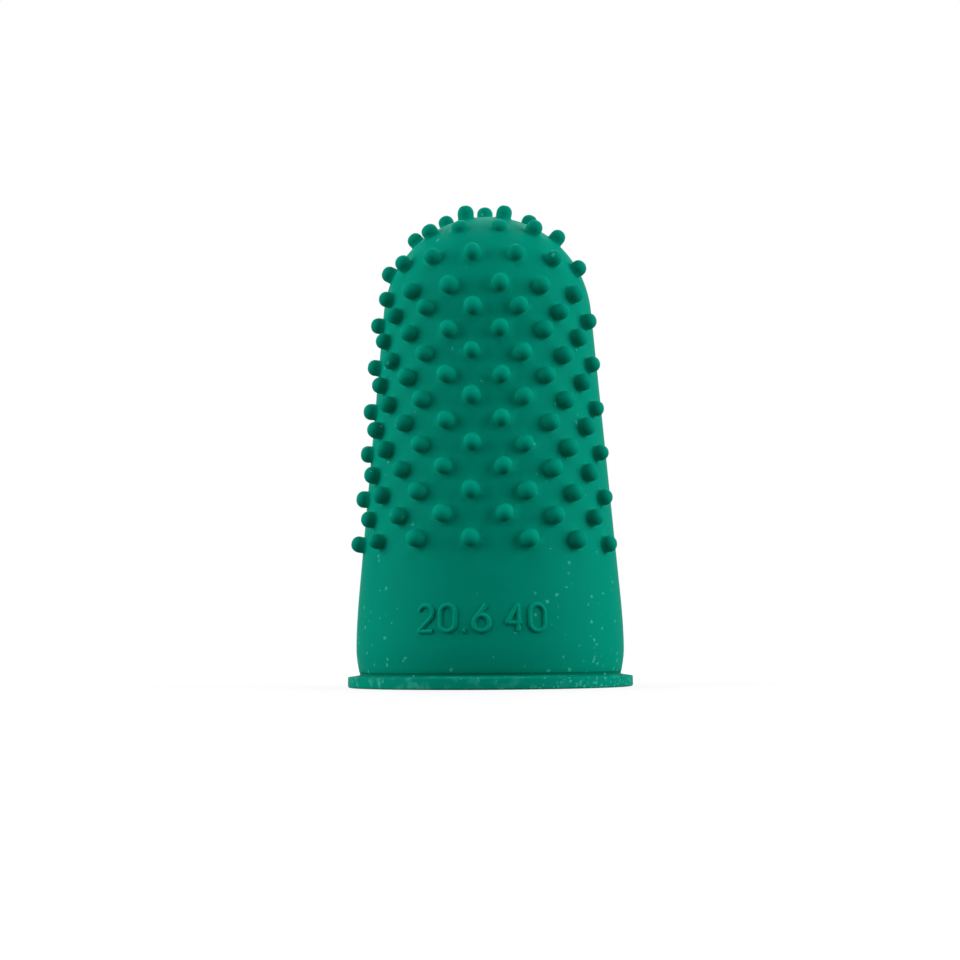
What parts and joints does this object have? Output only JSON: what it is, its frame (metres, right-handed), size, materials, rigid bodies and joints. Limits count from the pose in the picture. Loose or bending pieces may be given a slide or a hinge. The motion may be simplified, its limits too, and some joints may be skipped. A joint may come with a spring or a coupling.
{
  "type": "rubber fingertip",
  "caption": "Tapered rubber finger cone with a rounded closed tip, a flanged mouth, a plain cuff and staggered grip nubs, worn to turn pages and sort paper.",
  "frame": {"origin": "centre of the mouth, on the plane that the rim rests on", "axes": "+Z along the finger axis from the mouth to the closed tip; -Y and +Y out of the two nubbed faces; X towards the bare strips along the mould parting"},
  "size_m": [0.0238, 0.0238, 0.0414],
  "materials": {
    "green_rubber": "satin"
  },
  "bodies": {
    "root": {"rim_flange": "green_rubber", "cuff_band": "green_rubber", "grip_sleeve": "green_rubber", "tip_dome": "green_rubber"}
  },
  "joints": []
}
